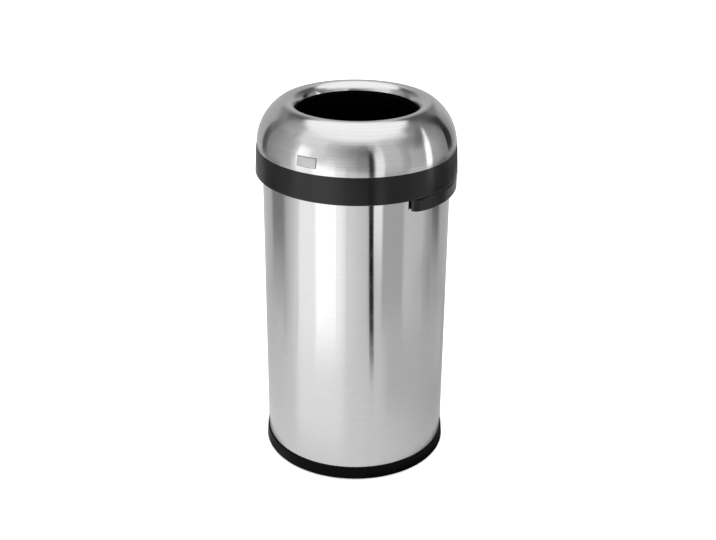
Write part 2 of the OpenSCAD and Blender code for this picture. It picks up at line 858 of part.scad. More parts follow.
module badge_push_nuts() {
    color(zinc) for (s = [-1, 1]) {
        translate([s * stud_pitch / 2, -shoulder_at(badge_z), badge_z]) {
            rotate([90 - badge_a, 0, 0]) translate([0, 0, -steel_t - 2.1]) {
                difference() {
                    cylinder(r = 3.6, h = 1, $fn = 48);
                    translate([0, 0, -1]) cylinder(r = stud_r + run, h = 3, $fn = 32);
                }
            }
        }
    }
}

base_ring();
foot_pads();
base_pan();
base_screws();
body_shell();
top_collar();
collar_rivets();
hinge_housing();
hinge_backing_plate();
hinge_housing_screws();
hinge_pin();
hinge_pin_caps();
bag_ring();
bag_ring_pin();
dome_shell();
throat_ring();
throat_screws();
inner_frame();
lid_band();
lid_frame_screws();
lid_bumpers();
lid_hinge_leaf();
hinge_leaf_screws();
side_grip();
grip_screws();
badge_plate();
badge_push_nuts();
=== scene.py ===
"""Dome top waste receptacle: looks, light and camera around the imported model."""

import logging
import math
from dataclasses import dataclass
from enum import Enum

import bpy
from mathutils import Matrix, Vector

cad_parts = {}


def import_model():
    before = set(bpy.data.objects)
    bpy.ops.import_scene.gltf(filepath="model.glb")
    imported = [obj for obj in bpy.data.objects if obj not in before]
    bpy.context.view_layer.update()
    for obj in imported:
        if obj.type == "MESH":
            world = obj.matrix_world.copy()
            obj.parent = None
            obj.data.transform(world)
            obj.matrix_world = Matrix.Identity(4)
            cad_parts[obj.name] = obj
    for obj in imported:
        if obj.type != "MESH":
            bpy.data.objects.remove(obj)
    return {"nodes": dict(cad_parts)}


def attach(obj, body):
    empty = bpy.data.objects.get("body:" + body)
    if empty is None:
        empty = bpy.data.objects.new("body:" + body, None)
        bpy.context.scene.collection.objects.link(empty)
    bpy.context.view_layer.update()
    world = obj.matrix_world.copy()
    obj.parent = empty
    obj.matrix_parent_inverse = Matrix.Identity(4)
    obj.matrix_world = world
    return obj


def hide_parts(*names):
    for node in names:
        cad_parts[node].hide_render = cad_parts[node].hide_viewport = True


LOG = logging.getLogger("waste_receptacle")
MM = 0.001
BODY_RADIUS = 180 * MM
WHITE = (1.0, 1.0, 1.0, 1.0)
# The span that a noise texture's value mostly fills
NOISE_SPAN = (0.3, 0.7)
# How many pads and how many screws stand under the bin, the radius of their ring, in millimetres,
# and the angle of the first screw, in degrees
FEET = 6
FOOT_RING = 163.4
SCREWS_FROM = 30
# The least radius in a turned profile, in millimetres
NEAR_AXIS = 0.01


class Grain(Enum):
    """Which way a steel sheet is brushed."""

    ROUND = "round the axis"
    ACROSS = "across the plate"
    NONE = "not brushed"


@dataclass(frozen=True)
class Mottle:
    """A noise texture: its scale, how many finer layers it has and how strong they are."""

    scale: float
    detail: float
    rough: float


class Nodes:
    """A material's or world's node tree, with short ways to add and join nodes."""

    def __init__(self, tree: bpy.types.NodeTree) -> None:
        """Empties the tree and keeps it."""
        self.tree = tree
        tree.nodes.clear()

    def add(self, kind: str, **settings: object) -> bpy.types.Node:
        """Adds a node.

        Args:
            kind: the node's type name in Blender.
            settings: properties to set on the node.
        Returns:
            The new node.
        """
        node = self.tree.nodes.new(kind)
        for name, value in settings.items():
            setattr(node, name, value)
        return node

    def join(self, source: object, target: object) -> None:
        """Feeds a socket, or a plain value, into a socket.

        Args:
            source: the socket or the value.
            target: the socket that takes it.
        """
        if isinstance(source, bpy.types.NodeSocket):
            self.tree.links.new(source, target)
        else:
            target.default_value = source

    def math(self, operation: str, *values: object) -> bpy.types.NodeSocket:
        """Adds a math node.

        Args:
            operation: the node's operation.
            values: sockets or numbers that it works on.
        Returns:
            The result's socket.
        """
        node = self.add("ShaderNodeMath", operation=operation)
        for place, value in enumerate(values):
            self.join(value, node.inputs[place])
        return node.outputs[0]

    def blend(self, first: object, second: object, share: float) -> bpy.types.NodeSocket:
        """Adds two values up by their shares.

        Args:
            first: the first value.
            second: the second value.
            share: the first one's share; the second has the rest.
        Returns:
            The sum's socket.
        """
        parts = self.math("MULTIPLY", first, share), self.math("MULTIPLY", second, 1 - share)
        return self.math("ADD", *parts)

    def place(self) -> bpy.types.NodeSocket:
        """Adds the piece's own coordinates, in metres."""
        return self.add("ShaderNodeTexCoord").outputs["Object"]

    def axes(self) -> list[bpy.types.NodeSocket]:
        """Adds the piece's own x, y and z, in metres.

        Returns:
            Their three sockets.
        """
        split = self.add("ShaderNodeSeparateXYZ")
        self.join(self.place(), split.inputs[0])
        return list(split.outputs)

    def noise(self, vector: object, mottle: Mottle) -> bpy.types.NodeSocket:
        """Adds a noise texture.

        Args:
            vector: the coordinates to read it at.
            mottle: its scale, per unit of those coordinates, and its layers.
        Returns:
            The socket of its value.
        """
        node = self.add("ShaderNodeTexNoise")
        self.join(vector, node.inputs["Vector"])
        node.inputs["Scale"].default_value = mottle.scale
        node.inputs["Detail"].default_value = mottle.detail
        node.inputs["Roughness"].default_value = mottle.rough
        return node.outputs["Fac"]

    def spread(
        self, value: object, span: tuple[float, float], results: tuple[float, float] = (0.0, 1.0)
    ) -> bpy.types.NodeSocket:
        """Maps a value from one range into another, held at the ends.

        Args:
            value: the socket to map.
            span: the values that give the two results.
            results: those results.
        Returns:
            The result's socket.
        """
        node = self.add("ShaderNodeMapRange", clamp=True)
        for place, item in enumerate((value, *span, *results)):
            self.join(item, node.inputs[place])
        return node.outputs[0]

    def tint(
        self, amount: object, first: tuple[float, ...], second: tuple[float, ...]
    ) -> bpy.types.NodeSocket:
        """Mixes two colours.

        Args:
            amount: the share of the second colour.
            first: the colour at 0.
            second: the colour at 1.
        Returns:
            The colour's socket.
        """
        node = self.add("ShaderNodeMix", data_type="RGBA")
        self.join(amount, node.inputs["Factor"])
        node.inputs["A"].default_value = (*first, 1.0)
        node.inputs["B"].default_value = (*second, 1.0)
        return node.outputs["Result"]

    def bump(self, height: object, distance: float) -> bpy.types.NodeSocket:
        """Adds a bump.

        Args:
            height: the socket that says how high the surface stands.
            distance: the depth of a height of one, in metres.
        Returns:
            The normal's socket.
        """
        node = self.add("ShaderNodeBump")
        node.inputs["Distance"].default_value = distance
        self.join(height, node.inputs["Height"])
        return node.outputs["Normal"]


@dataclass(frozen=True)
class Finish:
    """A finish that pieces can take. Each kind says how its nodes are laid."""

    name: str

    def lay(self, nodes: Nodes, shader: bpy.types.Node) -> None:
        """Lays the finish's nodes into the shader."""
        raise NotImplementedError

    def material(self) -> bpy.types.Material:
        """Makes the finish's material, once.

        Returns:
            The material.
        """
        found = bpy.data.materials.get(self.name)
        if found is not None:
            return found
        material = bpy.data.materials.new(self.name)
        material.use_nodes = True
        nodes = Nodes(material.node_tree)
        shader = nodes.add("ShaderNodeBsdfPrincipled")
        output = nodes.add("ShaderNodeOutputMaterial")
        nodes.join(shader.outputs["BSDF"], output.inputs["Surface"])
        self.lay(nodes, shader)
        return material

    def dress(self, piece: bpy.types.Object) -> None:
        """Gives the piece this finish and no other."""
        piece.data.materials.clear()
        piece.data.materials.append(self.material())


@dataclass(frozen=True)
class BrushedSteel(Finish):
    """Stainless sheet, brushed one way, with fine lines, faint smudges and a weld where it has one."""

    light: tuple[float, ...] = (0.585, 0.585, 0.588)
    dark: tuple[float, ...] = (0.545, 0.545, 0.548)
    roughness: float = 0.18
    uneven: float = 0.015
    stretch: float = 1.0
    grain: Grain = Grain.ROUND
    pitch: float = 0.5 * MM
    length: float = 40 * MM
    depth: float = 0.0003 * MM
    lines: Mottle = Mottle(1.0, 3.0, 0.6)
    line_share: float = 0.75
    bands: Mottle = Mottle(1.0, 2.0, 0.7)
    band_size: float = 4.4
    banding: float = 0.045
    cloud: Mottle = Mottle(7.0, 4.0, 0.55)
    spots: Mottle = Mottle(38.0, 3.0, 0.6)
    smudge_span: tuple[float, float] = (0.26, 0.42)
    smudge: float = 0.04
    weld: bool = False
    weld_edges: tuple[float, float] = (0.3 * MM, 0.9 * MM)
    weld_roughness: float = 0.15
    weld_height: float = 12.0

    def grain_place(self, nodes: Nodes, coarse: float = 1.0) -> bpy.types.NodeSocket:
        """Lays the coordinates that run slowly along the grain and fast across it.

        Args:
            nodes: the tree to lay them in.
            coarse: how many times wider and longer than the fine lines.
        Returns:
            The coordinates' socket.
        """
        x, y, z = nodes.axes()
        together = nodes.add("ShaderNodeCombineXYZ")
        along, across = 1 / (self.length * coarse), 1 / (self.pitch * coarse)
        if self.grain is Grain.ROUND:
            square = nodes.math("ADD", nodes.math("MULTIPLY", x, x), nodes.math("MULTIPLY", y, y))
            turn = nodes.math("ARCTAN2", x, nodes.math("MULTIPLY", y, -1.0))
            nodes.join(nodes.math("MULTIPLY", turn, BODY_RADIUS * along), together.inputs[0])
            nodes.join(nodes.math("MULTIPLY", nodes.math("SQRT", square), across), together.inputs[1])
        else:
            nodes.join(nodes.math("MULTIPLY", x, along), together.inputs[0])
            nodes.join(nodes.math("MULTIPLY", y, across), together.inputs[1])
        nodes.join(nodes.math("MULTIPLY", z, across), together.inputs[2])
        return together.outputs[0]

    def weld_mask(self, nodes: Nodes) -> bpy.types.NodeSocket:
        """Lays the mask of the weld, a narrow upright line at the back.

        Args:
            nodes: the tree to lay it in.
        Returns:
            The mask's socket, 1 on the weld.
        """
        x, y, _ = nodes.axes()
        near = nodes.spread(nodes.math("ABSOLUTE", x), self.weld_edges, (1.0, 0.0))
        behind = nodes.math("GREATER_THAN", y, 0.0)
        return nodes.math("MULTIPLY", near, behind)

    def lay(self, nodes: Nodes, shader: bpy.types.Node) -> None:
        """Lays lines, smudges, roughness and the direction of the grain.

        Args:
            nodes: the tree to lay them in.
            shader: the shader that takes them.
        """
        lines = nodes.noise(self.grain_place(nodes), self.lines)
        bands = nodes.noise(self.grain_place(nodes, self.band_size), self.bands)
        cloud = nodes.noise(nodes.place(), self.cloud)
        spots = nodes.noise(nodes.place(), self.spots)
        shade = nodes.blend(lines, cloud, self.line_share)
        banded = nodes.add("ShaderNodeMix", data_type="RGBA", blend_type="MULTIPLY")
        nodes.join(1.0, banded.inputs["Factor"])
        nodes.join(nodes.tint(nodes.spread(shade, NOISE_SPAN), self.dark, self.light), banded.inputs["A"])
        nodes.join(nodes.spread(bands, NOISE_SPAN, (1 - self.banding, 1 + self.banding)), banded.inputs["B"])
        nodes.join(banded.outputs["Result"], shader.inputs["Base Color"])
        smudge = nodes.spread(nodes.math("MULTIPLY", cloud, spots), self.smudge_span, (0.0, self.smudge))
        gloss = nodes.spread(lines, NOISE_SPAN, (self.roughness - self.uneven, self.roughness + self.uneven))
        rough, height = nodes.math("ADD", gloss, smudge), lines
        if self.weld:
            mask = self.weld_mask(nodes)
            rough = nodes.math("ADD", rough, nodes.math("MULTIPLY", mask, self.weld_roughness))
            height = nodes.math("ADD", lines, nodes.math("MULTIPLY", mask, self.weld_height))
        nodes.join(rough, shader.inputs["Roughness"])
        shader.inputs["Metallic"].default_value = 1.0
        nodes.join(nodes.bump(height, self.depth), shader.inputs["Normal"])
        if self.grain is not Grain.NONE:
            shader.inputs["Anisotropic"].default_value = self.stretch
        if self.grain is Grain.ROUND:
            # A quarter turn, since highlights stretch across the grain
            shader.inputs["Anisotropic Rotation"].default_value = 0.25
            tangent = nodes.add("ShaderNodeTangent", direction_type="RADIAL", axis="Z")
            nodes.join(tangent.outputs[0], shader.inputs["Tangent"])


@dataclass(frozen=True)
class MouldedPlastic(Finish):
    """Satin moulded plastic with a fine spark-eroded grain and a little handling sheen."""

    dark: tuple[float, ...] = (0.0012, 0.0013, 0.0014)
    light: tuple[float, ...] = (0.0028, 0.0029, 0.0031)
    roughness: float = 0.22
    smoother: float = 0.035
    rougher: float = 0.045
    shine: float = 0.3
    cloud: Mottle = Mottle(9.0, 4.0, 0.6)
    handling: Mottle = Mottle(26.0, 5.0, 0.65)
    handling_span: tuple[float, float] = (0.35, 0.65)
    grain: Mottle = Mottle(1900.0, 2.0, 0.6)
    grain_depth: float = 0.008 * MM

    def lay(self, nodes: Nodes, shader: bpy.types.Node) -> None:
        """Lays the grain, its uneven gloss and the slow change of shade.

        Args:
            nodes: the tree to lay them in.
            shader: the shader that takes them.
        """
        cloud = nodes.spread(nodes.noise(nodes.place(), self.cloud), NOISE_SPAN)
        grain = nodes.noise(nodes.place(), self.grain)
        handled = nodes.noise(nodes.place(), self.handling)
        glosses = (self.roughness - self.smoother, self.roughness + self.rougher)
        nodes.join(nodes.tint(cloud, self.dark, self.light), shader.inputs["Base Color"])
        nodes.join(nodes.spread(handled, self.handling_span, glosses), shader.inputs["Roughness"])
        shader.inputs["Specular IOR Level"].default_value = self.shine
        nodes.join(nodes.bump(grain, self.grain_depth), shader.inputs["Normal"])


@dataclass(frozen=True)
class Rubber(Finish):
    """Matt black rubber, a little dusty."""

    clean: tuple[float, ...] = (0.011, 0.011, 0.011)
    dusty: tuple[float, ...] = (0.045, 0.044, 0.042)
    dust: Mottle = Mottle(60.0, 5.0, 0.6)
    dust_span: tuple[float, float] = (0.4, 0.75)
    roughness: tuple[float, float] = (0.72, 0.9)
    skin: Mottle = Mottle(900.0, 3.0, 0.6)
    skin_depth: float = 0.05 * MM

    def lay(self, nodes: Nodes, shader: bpy.types.Node) -> None:
        """Lays the dust and the rough skin.

        Args:
            nodes: the tree to lay them in.
            shader: the shader that takes them.
        """
        dust = nodes.noise(nodes.place(), self.dust)
        skin = nodes.noise(nodes.place(), self.skin)
        shade = nodes.tint(nodes.spread(dust, self.dust_span), self.clean, self.dusty)
        nodes.join(shade, shader.inputs["Base Color"])
        nodes.join(nodes.spread(dust, NOISE_SPAN, self.roughness), shader.inputs["Roughness"])
        nodes.join(nodes.bump(skin, self.skin_depth), shader.inputs["Normal"])


@dataclass(frozen=True)
class PlatedSteel(Finish):
    """Zinc plated or galvanised steel, with a spangle whose size is given."""

    light: tuple[float, ...] = (0.60, 0.60, 0.585)
    dark: tuple[float, ...] = (0.42, 0.42, 0.41)
    spangle: float = 1.5 * MM
    spangle_share: float = 0.5
    roughness: float = 0.36
    smoother: float = 0.06
    rougher: float = 0.1
    stain: Mottle = Mottle(90.0, 3.0, 0.6)
    tooling: Mottle = Mottle(1400.0, 2.0, 0.5)
    tooling_depth: float = 0.01 * MM

    def lay(self, nodes: Nodes, shader: bpy.types.Node) -> None:
        """Lays the spangle, its gloss and a fine tooling bump.

        Args:
            nodes: the tree to lay them in.
            shader: the shader that takes them.
        """
        cells = nodes.add("ShaderNodeTexVoronoi")
        nodes.join(nodes.place(), cells.inputs["Vector"])
        cells.inputs["Scale"].default_value = 1 / self.spangle
        fleck = nodes.add("ShaderNodeSeparateColor")
        nodes.join(cells.outputs["Color"], fleck.inputs[0])
        stain = nodes.noise(nodes.place(), self.stain)
        shade = nodes.blend(fleck.outputs[0], stain, self.spangle_share)
        nodes.join(nodes.tint(shade, self.dark, self.light), shader.inputs["Base Color"])
        glosses = (self.roughness - self.smoother, self.roughness + self.rougher)
        nodes.join(nodes.spread(fleck.outputs[1], (0.0, 1.0), glosses), shader.inputs["Roughness"])
        shader.inputs["Metallic"].default_value = 1.0
        tooling = nodes.noise(nodes.place(), self.tooling)
        nodes.join(nodes.bump(tooling, self.tooling_depth), shader.inputs["Normal"])


@dataclass(frozen=True)
class StudioFloor(Finish):
    """A plain pale floor with a little light of its own."""

    dark: tuple[float, ...] = (0.86, 0.86, 0.86)
    light: tuple[float, ...] = (0.88, 0.88, 0.88)
    cloud: Mottle = Mottle(0.8, 2.0, 0.5)
    roughness: float = 0.9
    shine: float = 0.1
    glow: float = 0.35

    def lay(self, nodes: Nodes, shader: bpy.types.Node) -> None:
        """Lays one pale tone with the faintest unevenness.

        Args:
            nodes: the tree to lay it in.
            shader: the shader that takes it.
        """
        cloud = nodes.noise(nodes.place(), self.cloud)
        nodes.join(nodes.tint(cloud, self.dark, self.light), shader.inputs["Base Color"])
        shader.inputs["Roughness"].default_value = self.roughness
        shader.inputs["Specular IOR Level"].default_value = self.shine
        shader.inputs["Emission Color"].default_value = WHITE
        shader.inputs["Emission Strength"].default_value = self.glow


BODY_STEEL = BrushedSteel("body steel", roughness=0.12, banding=0.02, weld=True)
DOME_STEEL = BrushedSteel("dome steel", roughness=0.16, stretch=0.85)
BADGE_STEEL = BrushedSteel(
    "badge steel", light=(0.47, 0.47, 0.475), dark=(0.41, 0.41, 0.415),
    roughness=0.42, grain=Grain.ACROSS, stretch=0.3, pitch=0.25 * MM,
)
# Near-black colour for the badge's bevel: painted shade, standing in for the shadow line round the raised
# plate
BADGE_SHADE_EDGE = BrushedSteel(
    "badge edge painted shade", light=(0.07, 0.07, 0.072), dark=(0.045, 0.045, 0.046), roughness=0.34, grain=Grain.NONE,
)
BAND_PLASTIC = MouldedPlastic("band plastic")
BASE_PLASTIC = MouldedPlastic(
    "base plastic", dark=(0.0005, 0.0005, 0.0006), light=(0.0012, 0.0012, 0.0014),
    roughness=0.28, shine=0.045,
)
INNER_PLASTIC = MouldedPlastic(
    "inner plastic", dark=(0.0004, 0.0004, 0.0004), light=(0.0009, 0.0009, 0.0009),
    roughness=0.6, shine=0.04,
)
PAD_RUBBER = Rubber("pad rubber")
ZINC = PlatedSteel("zinc plating", spangle=0.8 * MM)
GALVANISED = PlatedSteel("galvanised sheet", spangle=9 * MM, roughness=0.42)


def ease(share: float) -> float:
    """Eases a share between 0 and 1, held at the ends."""
    share = min(max(share, 0.0), 1.0)
    return share * share * (3 - 2 * share)


def window(value: float, start: float, end: float, soft: float) -> float:
    """Says how far a value lies inside a span with soft edges.

    Args:
        value: the value.
        start: where the span begins.
        end: where it ends.
        soft: the width of each edge.
    Returns:
        A share from 0, outside, to 1, inside.
    """
    return ease((value - start) / soft + 0.5) * ease((end - value) / soft + 0.5)


@dataclass(frozen=True)
class Panel:
    """One lit panel or dark flag that hangs in the light tent.

    Its sides are the azimuths, in degrees from the camera, at which the steel mirrors
    it. Its heights are in metres up the tent's wall, and below 0 they run inwards over
    the floor. Its glow changes evenly from side to side. Its sides are soft over some
    degrees, and its top and foot fade over some metres. It may lean, in degrees for
    each metre of height, and bow, in degrees for each metre squared.
    """

    name: str
    start: float
    end: float
    low: float
    high: float
    glow: float
    end_glow: float
    soft: float = 3.0
    fade: float = 0.2
    lean: float = 0.0
    bow: float = 0.0

    def over(self, azimuth: float, height: float, level: float) -> float:
        """Lays the panel over what is behind it.

        Args:
            azimuth: where to look, in degrees from the camera.
            height: how high up the tent.
            level: the glow behind the panel.
        Returns:
            The glow with the panel there.
        """
        place = azimuth - self.lean * height - self.bow * height * height
        sides = window(place, self.start, self.end, self.soft)
        inside = sides * window(height, self.low, self.high, self.fade)
        share = min(max((place - self.start) / (self.end - self.start), 0.0), 1.0)
        return level + inside * (self.glow + share * (self.end_glow - self.glow) - level)


# Placed one reflection after another. A later panel hangs in front of the earlier ones.
PANELS = (
    Panel("glow on the floor, front", -80, -14, -0.60, -0.16, 1.22, 1.16, 18, 0.2),
    Panel("glow on the floor, right", 40, 146, -0.48, -0.12, 0.72, 0.62, 14, 0.2),
    Panel("key softbox", -52, -23, -0.18, 0.70, 1.95, 1.80, 3, 0.34),
    Panel("low side softbox", -77, -50, -0.22, 0.60, 1.38, 1.42, 6, 0.34),
    Panel("low side spill", -101, -78, -0.20, 0.42, 0.60, 1.10, 3, 0.30, 18),
    Panel("low side flag", -125, -98, 0.12, 0.44, 0.29, 0.30, 8, 0.16),
    Panel("low left cloth", -168, -127, -0.04, 0.44, 0.72, 0.64, 6, 0.2),
    Panel("low front spill", -23, -11, -0.20, 0.60, 1.62, 1.22, 3, 0.34),
    Panel("low front cloth", -11, 15, -0.20, 0.50, 1.12, 0.84, 3, 0.34),
    Panel("low right cloth", 60, 91, -0.10, 0.46, 0.84, 0.80, 4, 0.2),
    Panel("low right spill", 91, 106, 0.00, 0.46, 0.70, 0.36, 3, 0.2),
    Panel("low right flag", 106, 121.5, 0.12, 0.46, 0.22, 0.14, 4, 0.16),
    Panel("low right flag, foot", 65, 82, 0.03, 0.17, 0.60, 0.50, 9, 0.09, 217),
    Panel("foot shade, right", 12, 184, -0.90, -0.695, 0.12, 0.05, 20, 0.01),
    Panel("foot shade, left", -184, -100, -0.90, -0.695, 0.14, 0.46, 20, 0.01),
    Panel("strip light, foot", 21, 31, 0.16, 0.56, 1.34, 1.36, 1.2, 0.14),
    Panel("low strip light", 23.5, 31, -0.12, 0.14, 0.86, 0.86, 1.5, 0.14),
    Panel("low black flag", 17.0, 22.5, -0.24, 0.36, 0.0, 0.0, 0.6, 0.16, -6),
    Panel("side flag", -133, -119.5, 0.40, 0.90, 0.11, 0.17, 3, 0.15),
    Panel("side flag, upper", -133, -118, 0.84, 1.30, 0.235, 0.25, 5, 0.12),
    Panel("side cloth", -119.5, -98, 0.40, 1.20, 0.35, 0.50, 3, 0.2),
    Panel("side spill", -98, -78, 0.44, 1.12, 0.50, 0.68, 3, 0.2),
    Panel("side spill, near", -78, -69, 0.52, 1.12, 0.76, 1.10, 4, 0.3),
    Panel("side softbox", -70.5, -50, 0.44, 1.08, 1.95, 1.45, 4, 0.26),
    Panel("side softbox edge", -54, -34, 0.72, 1.16, 1.15, 0.98, 8, 0.36),
    Panel("front cloth", -34, 0, 0.62, 0.90, 1.30, 0.48, 6, 0.3),
    Panel("front cloth, near", 0, 15, 0.50, 0.90, 0.42, 0.32, 3, 0.3),
    Panel("front shade", -36, 0, 0.92, 1.44, 0.84, 0.28, 6, 0.26),
    Panel("front shade, near", 0, 15, 0.90, 1.46, 0.28, 0.20, 3, 0.26),
    Panel("strip light", 20.8, 31.2, 0.50, 1.06, 1.38, 1.32, 1.2, 0.14),
    Panel("strip light, upper", 23.4, 31.2, 0.98, 1.40, 0.96, 1.20, 3.0, 0.16),
    Panel("black flag", 13.6, 19.4, 0.36, 1.16, 0.0, 0.0, 0.8, 0.16),
    Panel("right cloth", 31.5, 52, 0.46, 1.60, 0.80, 0.78, 1.5, 0.3),
    Panel("right cloth, far", 52, 62, 0.46, 1.16, 0.66, 0.50, 2, 0.3),
    Panel("right spill", 62, 79.5, 0.46, 1.00, 0.68, 0.60, 2, 0.2),
    Panel("right shade, low", 96, 104, 0.22, 0.60, 0.50, 0.54, 1.5, 0.2),
    Panel("narrow strip light", 101.6, 109.8, 0.345, 1.13, 2.1, 2.1, 1.0, 0.07, -57.2, 44),
    Panel("narrow strip light, top", 101.6, 110.6, 1.10, 1.40, 0.62, 0.52, 2.0, 0.1, -57.2, 44),
    Panel("right drape", 100.5, 122, 0.46, 1.04, 0.54, 0.30, 2, 0.2),
    Panel("right flag", 122.5, 137, 0.46, 0.98, 0.02, 0.05, 3, 0.14),
    Panel("right back cloth", 137, 152, 0.44, 0.92, 0.34, 0.52, 4, 0.2),
    Panel("upper right cloth", 62, 84, 1.02, 1.44, 0.46, 0.32, 4, 0.2),
    Panel("upper right drape", 84, 128, 1.04, 1.88, 0.46, 0.26, 6, 0.3),
    Panel("upper right flag", 124, 174, 1.16, 1.90, 0.13, 0.15, 14, 0.26),
    Panel("right back shade", 134, 172, 0.98, 1.24, 0.26, 0.30, 12, 0.2),
    Panel("right flag, upper", 123, 138, 0.94, 1.32, 0.12, 0.10, 6, 0.16),
    Panel("right flag, crest", 127, 141, 0.92, 1.18, 0.03, 0.05, 5, 0.16),
    Panel("upper left cloth", -140, -92, 1.16, 1.80, 0.34, 0.70, 10, 0.3),
    Panel("upper left flag", -172, -126, 1.26, 1.86, 0.16, 0.20, 14, 0.24),
    Panel("left back shade", -172, -128, 1.08, 1.30, 0.33, 0.34, 12, 0.2),
    Panel("upper softbox", -84, -38, 1.12, 1.70, 1.15, 1.10, 10, 0.3),
    Panel("right edge flag", 86, 101.4, 0.94, 1.46, 0.28, 0.20, 5, 0.2, -57.2, 44),
    Panel("narrow strip light, tail", 103.6, 108.4, 1.02, 1.30, 1.7, 1.7, 1.0, 0.14, -57.2, 44),
    Panel("band flag, right", 86, 184, 0.315, 0.39, 0.10, 0.14, 6, 0.02),
    Panel("band flag, left", -184, -136, 0.315, 0.39, 0.24, 0.42, 8, 0.02),
)


@dataclass
class LightTent:
    """The cloth tent with its panels and flags that the bin's glossy faces mirror.

    It stands round the bin, and nothing but reflections shows it, so the camera looks
    through its wall.
    """

    front: float
    radius: float = 0.9
    ceiling_height: float = 2.1
    cloth_glow: float = 0.58
    overhead_glow: float = 1.08
    ceiling_glow: float = 1.52
    floor_glow: float = 0.74
    floor_lean: float = 0.27
    key_azimuth: float = math.radians(-28)
    # Where the wall's cloth, the cloth overhead and the ceiling begin to blend in, and over what height
    wall_blend: tuple[float, float] = (-0.22, 0.3)
    overhead_blend: tuple[float, float] = (1.34, 0.26)
    ceiling_blend: tuple[float, float] = (1.58, 0.34)
    mirror_limit: float = 0.8
    mirror_rounds: int = 12
    floor_hole: float = 0.02
    lift: float = 0.0004
    floor_rows: int = 44
    wall_rows: int = 84
    ceiling_rows: int = 6
    steps: int = 720
    panels: tuple[Panel, ...] = PANELS

    def mirrored(self, turn: float, reach: float) -> float:
        """Turns a place's azimuth into the one at which the steel mirrors it.

        Args:
            turn: the place's azimuth from the camera, in radians.
            reach: its distance from the axis.
        Returns:
            The mirrored azimuth, in degrees.
        """
        share = min(BODY_RADIUS / reach, self.mirror_limit)
        azimuth = turn
        # Each round comes closer to the azimuth at which the mirrored ray leaves the steel
        for _ in range(self.mirror_rounds):
            azimuth = turn + math.asin(share * math.sin(azimuth / 2))
        return math.degrees(azimuth)

    def cloth(self, turn: float, height: float) -> float:
        """Gives the glow of the bare cloth, which is brighter overhead.

        Args:
            turn: the azimuth from the camera, in radians.
            height: how high up the tent, or below 0 how far in over the floor.
        Returns:
            The glow.
        """
        level = self.floor_glow + self.floor_lean * math.cos(turn - self.key_azimuth)
        for (start, over), glow in (
            (self.wall_blend, self.cloth_glow),
            (self.overhead_blend, self.overhead_glow),
            (self.ceiling_blend, self.ceiling_glow),
        ):
            level += ease((height - start) / over) * (glow - level)
        return level

    def glow(self, turn: float, reach: float, height: float) -> float:
        """Gives the tent's glow at one place on it.

        Args:
            turn: its azimuth from the camera, in radians.
            reach: its distance from the axis.
            height: its height.
        Returns:
            The glow.
        """
        if height >= self.ceiling_height:
            return self.ceiling_glow
        climb = height if height > 0 else reach - self.radius
        azimuth = self.mirrored(turn, reach)
        level = self.cloth(turn, climb)
        for panel in self.panels:
            level = panel.over(azimuth, climb, level)
        return level

    def rows(self) -> list[tuple[float, float]]:
        """Lists the rings of the tent's mesh.

        Returns:
            Each one's distance from the axis and height.
        """
        across = self.radius - self.floor_hole
        floor = [(self.floor_hole + across * i / self.floor_rows, 0.0) for i in range(self.floor_rows)]
        wall = [(self.radius, self.ceiling_height * i / self.wall_rows) for i in range(self.wall_rows + 1)]
        inwards = [1 - i / self.ceiling_rows for i in range(1, self.ceiling_rows + 1)]
        return floor + wall + [(self.radius * share + MM, self.ceiling_height) for share in inwards]

    def material(self) -> bpy.types.Material:
        """Makes the tent's light from the glow stored on its mesh.

        Returns:
            The material.
        """
        material = bpy.data.materials.new("tent cloth")
        material.use_nodes = True
        nodes = Nodes(material.node_tree)
        stored = nodes.add("ShaderNodeAttribute", attribute_name="glow")
        light = nodes.add("ShaderNodeEmission")
        nodes.join(stored.outputs["Fac"], light.inputs["Strength"])
        output = nodes.add("ShaderNodeOutputMaterial")
        nodes.join(light.outputs[0], output.inputs["Surface"])
        return material

    def build(self) -> None:
        """Builds the tent and hides it from all but reflections."""
        rows = self.rows()
        points, glows, faces = [], [], []
        for reach, height in rows:
            for i in range(self.steps):
                turn = (i / self.steps * 2 - 1) * math.pi
                angle = self.front + turn
                points.append((math.sin(angle) * reach, -math.cos(angle) * reach, height + self.lift))
                glows.append(self.glow(turn, reach, height))
        for row in range(len(rows) - 1):
            near, far = row * self.steps, (row + 1) * self.steps
            for i in range(self.steps):
                beside = (i + 1) % self.steps
                faces.append((near + i, near + beside, far + beside, far + i))
        mesh = bpy.data.meshes.new("light_tent")
        mesh.from_pydata(points, [], faces)
        stored = mesh.attributes.new("glow", "FLOAT", "POINT")
        stored.data.foreach_set("value", glows)
        mesh.materials.append(self.material())
        tent = bpy.data.objects.new("light_tent", mesh)
        bpy.context.scene.collection.objects.link(tent)
        tent.visible_camera = False
        tent.visible_diffuse = False
        tent.visible_shadow = False
        tent.visible_transmission = False


